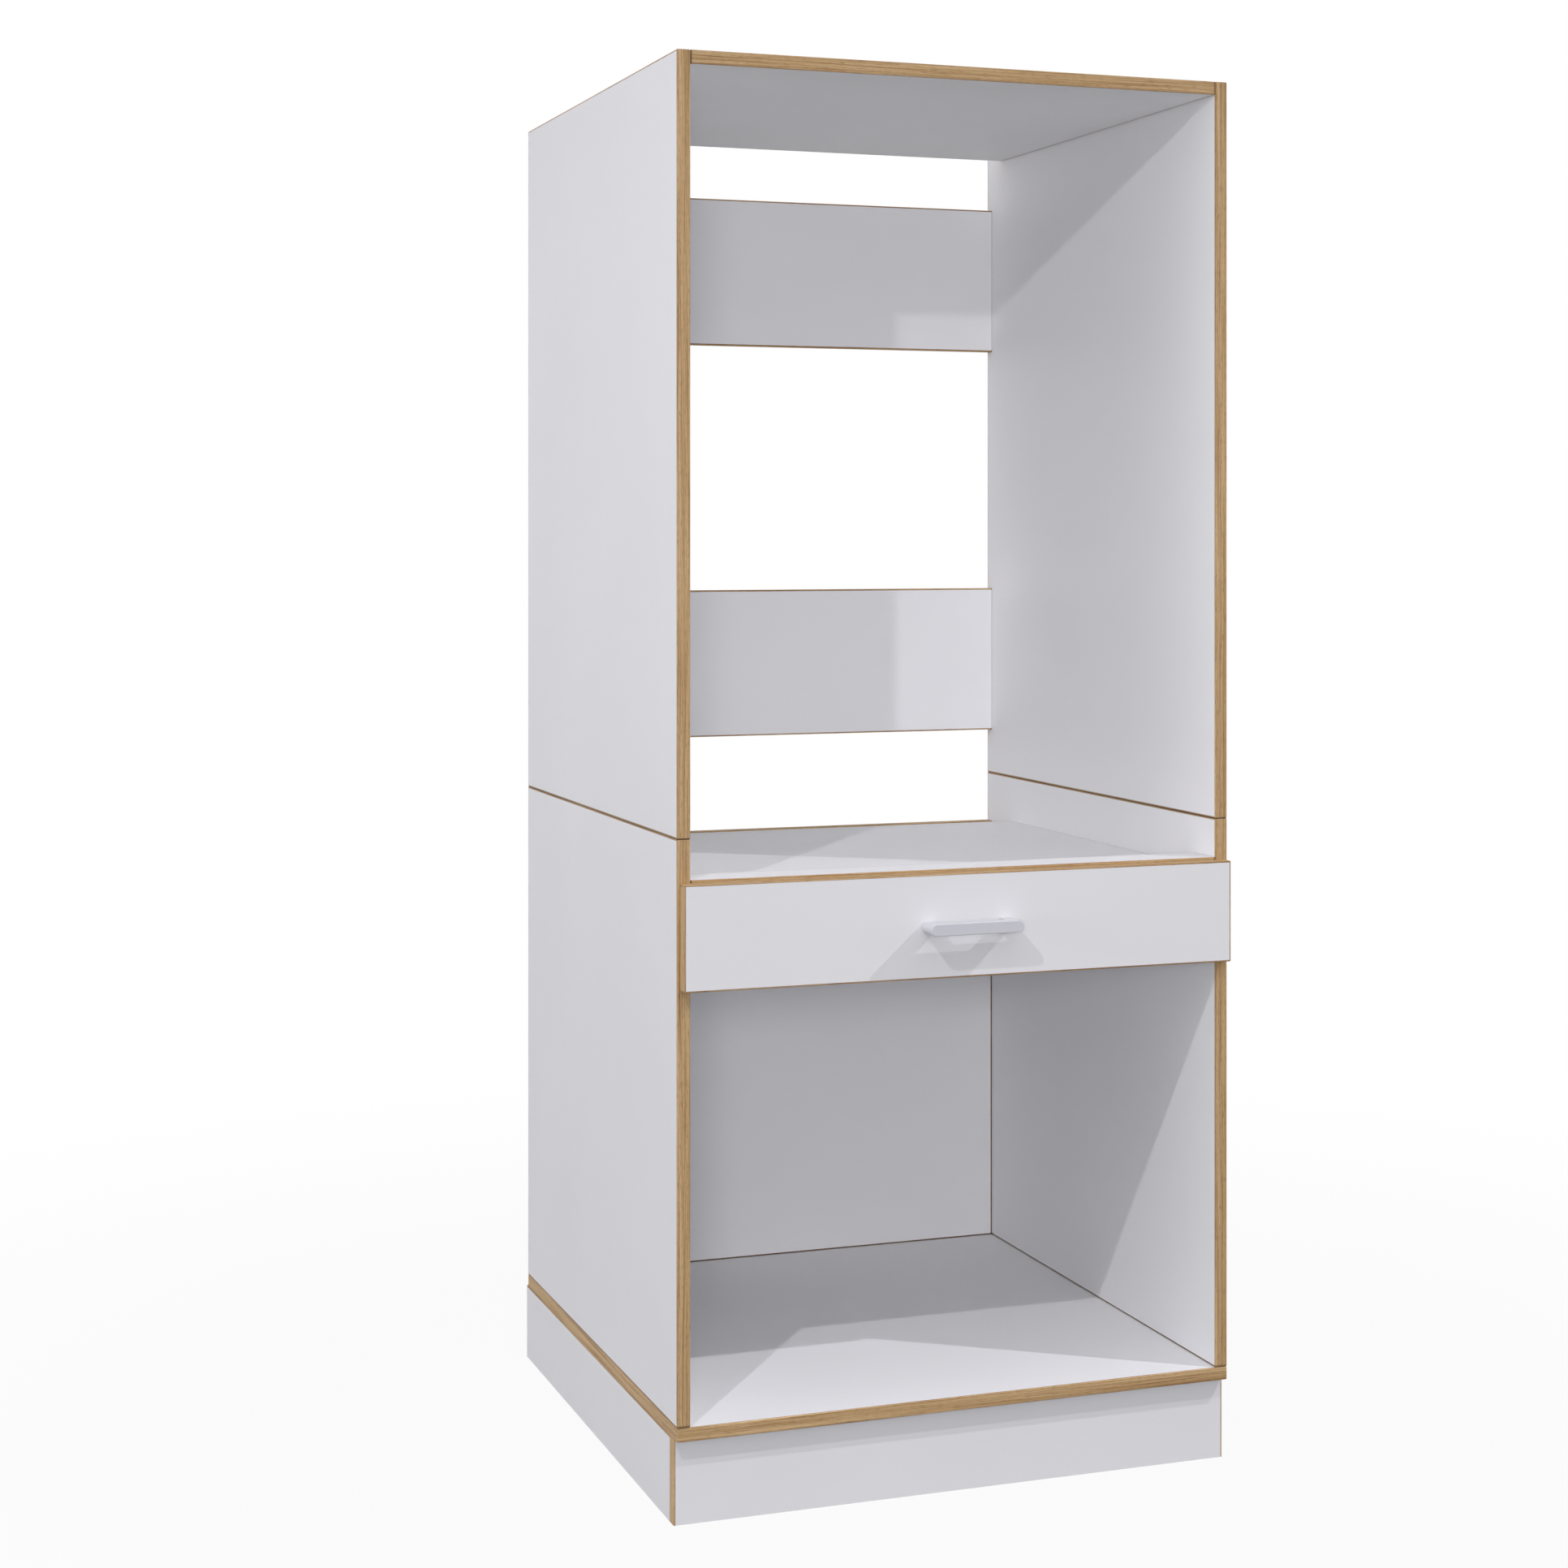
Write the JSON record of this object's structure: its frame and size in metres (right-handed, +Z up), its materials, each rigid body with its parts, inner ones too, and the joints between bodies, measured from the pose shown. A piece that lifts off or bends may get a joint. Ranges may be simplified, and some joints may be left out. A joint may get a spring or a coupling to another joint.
{
  "type": "washing machine cabinet",
  "caption": "Tall open cabinet on a plinth: a bay for a washing machine above a drawer and an open laundry bay, white boards with oak edges.",
  "frame": {"origin": "middle of the overall box, on the floor under the plinth", "axes": "+X to the right seen from the front, the front faces -Y, +Z up"},
  "size_m": [0.7, 0.7412, 1.676],
  "materials": {
    "white_board": "satin white melamine",
    "oak_edging": "satin oak grain",
    "drawer_board": "satin white melamine",
    "beech": "planed",
    "zinc": "zinc plated",
    "runner_steel": "bright zinc plated",
    "handle_white": "satin white powder coat"
  },
  "bodies": {
    "cabinet": {"plinth_front": "white_board", "plinth_left": "white_board", "plinth_right": "white_board", "plinth_back": "white_board", "bottom_plate": "white_board", "lower_left_side": "white_board", "lower_right_side": "white_board", "lower_back_panel": "white_board", "machine_shelf": "white_board", "stop_strip": "white_board", "upper_left_side": "white_board", "upper_right_side": "white_board", "top_plate": "white_board", "upper_back_rail": "white_board", "lower_back_rail": "white_board", "plinth_front_edging": "oak_edging", "plinth_left_edging": "oak_edging", "plinth_right_edging": "oak_edging", "plinth_back_edging": "oak_edging", "bottom_plate_edging": "oak_edging", "lower_left_edging": "oak_edging", "lower_right_edging": "oak_edging", "lower_back_edging": "oak_edging", "machine_shelf_edging": "oak_edging", "stop_strip_edging": "oak_edging", "upper_left_edging": "oak_edging", "upper_right_edging": "oak_edging", "top_plate_edging": "oak_edging", "upper_rail_edging": "oak_edging", "lower_rail_edging": "oak_edging", "plinth_corner_blocks": "beech", "plinth_block_screws": "zinc", "cam_housings": "zinc", "cam_bolts": "runner_steel", "dowels": "beech", "board_screws": "zinc", "runner_cabinet_left": "runner_steel", "runner_cabinet_right": "runner_steel", "runner_cabinet_screws": "zinc"},
    "drawer": {"drawer_front": "white_board", "drawer_front_edging": "oak_edging", "drawer_left_side": "drawer_board", "drawer_right_side": "drawer_board", "drawer_box_front": "drawer_board", "drawer_box_back": "drawer_board", "drawer_bottom": "drawer_board", "drawer_box_screws": "zinc", "drawer_front_screws": "zinc", "handle": "handle_white", "handle_screws": "zinc", "runner_drawer_left": "runner_steel", "runner_drawer_right": "runner_steel", "runner_drawer_screws": "zinc"},
    "middle_member_left": {"runner_middle_left": "runner_steel"},
    "middle_member_right": {"runner_middle_right": "runner_steel"},
    "outer_cage_body_left": {"outer_cage_left": "runner_steel"},
    "outer_cage_body_right": {"outer_cage_right": "runner_steel"},
    "inner_cage_body_left": {"inner_cage_left": "runner_steel"},
    "inner_cage_body_right": {"inner_cage_right": "runner_steel"}
  },
  "joints": [
    {"name": "drawer_slide", "type": "slide", "parent": "cabinet", "child": "drawer", "axis": [0, -1, 0], "range_m": [0, 0.5]},
    {"name": "middle_slide_left", "type": "slide", "parent": "cabinet", "child": "middle_member_left", "axis": [0, -1, 0], "range_m": [0, 0.25]},
    {"name": "outer_cage_slide_left", "type": "slide", "parent": "cabinet", "child": "outer_cage_body_left", "axis": [0, -1, 0], "range_m": [0, 0.125]},
    {"name": "inner_cage_slide_left", "type": "slide", "parent": "cabinet", "child": "inner_cage_body_left", "axis": [0, -1, 0], "range_m": [0, 0.375]},
    {"name": "middle_slide_right", "type": "slide", "parent": "cabinet", "child": "middle_member_right", "axis": [0, -1, 0], "range_m": [0, 0.25]},
    {"name": "outer_cage_slide_right", "type": "slide", "parent": "cabinet", "child": "outer_cage_body_right", "axis": [0, -1, 0], "range_m": [0, 0.125]},
    {"name": "inner_cage_slide_right", "type": "slide", "parent": "cabinet", "child": "inner_cage_body_right", "axis": [0, -1, 0], "range_m": [0, 0.375]}
  ],
  "couplings": [
    {"joint": "middle_slide_left", "follows": "drawer_slide", "ratio": 0.5},
    {"joint": "outer_cage_slide_left", "follows": "drawer_slide", "ratio": 0.25},
    {"joint": "inner_cage_slide_left", "follows": "drawer_slide", "ratio": 0.75},
    {"joint": "middle_slide_right", "follows": "drawer_slide", "ratio": 0.5},
    {"joint": "outer_cage_slide_right", "follows": "drawer_slide", "ratio": 0.25},
    {"joint": "inner_cage_slide_right", "follows": "drawer_slide", "ratio": 0.75}
  ]
}
